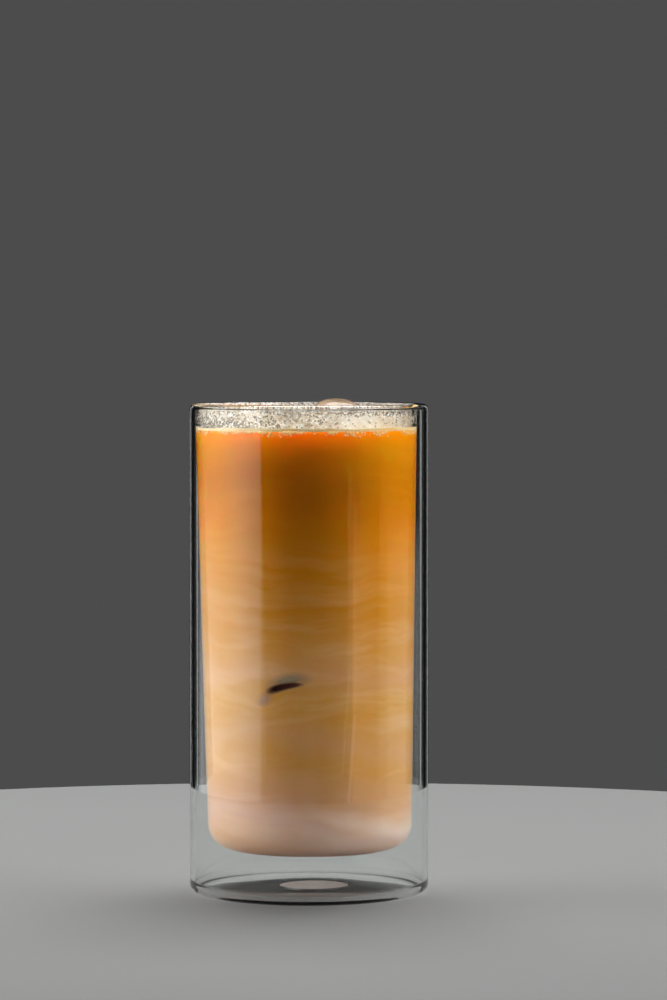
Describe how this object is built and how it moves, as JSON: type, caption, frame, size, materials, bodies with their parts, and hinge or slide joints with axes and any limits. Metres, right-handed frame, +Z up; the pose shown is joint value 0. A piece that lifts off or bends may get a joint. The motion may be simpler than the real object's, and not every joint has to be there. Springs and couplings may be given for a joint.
{
  "type": "iced latte in a double-walled glass",
  "caption": "Iced latte layered from coffee down to milk, with foam and ice, in a straight tall double-walled glass tumbler that stands on a flat foot.",
  "frame": {"origin": "centre of the glass's foot, on the surface it stands on", "axes": "+Z up, the shown side faces -Y, +X to the right of someone who looks at that side"},
  "size_m": [0.07, 0.07, 0.1446],
  "materials": {
    "glass": "clear blown borosilicate glass, fire-polished rim",
    "seal": "cloudy silicone disc, satin",
    "milk": "cloudy liquid: milk with a little coffee in it",
    "latte": "cloudy liquid: milk and coffee mixed, darker towards the top",
    "coffee": "cloudy liquid: coffee with a little milk, glowing amber at the edges",
    "foam": "fine wet froth with small bubbles",
    "ice": "wet melting ice with a film of coffee and foam"
  },
  "bodies": {
    "root": {"glass": "glass", "vent_seal": "seal", "milk_layer": "milk", "latte_layer": "latte", "coffee_layer": "coffee", "foam": "foam", "ice_1": "ice", "ice_2": "ice", "ice_3": "ice"}
  },
  "joints": []
}
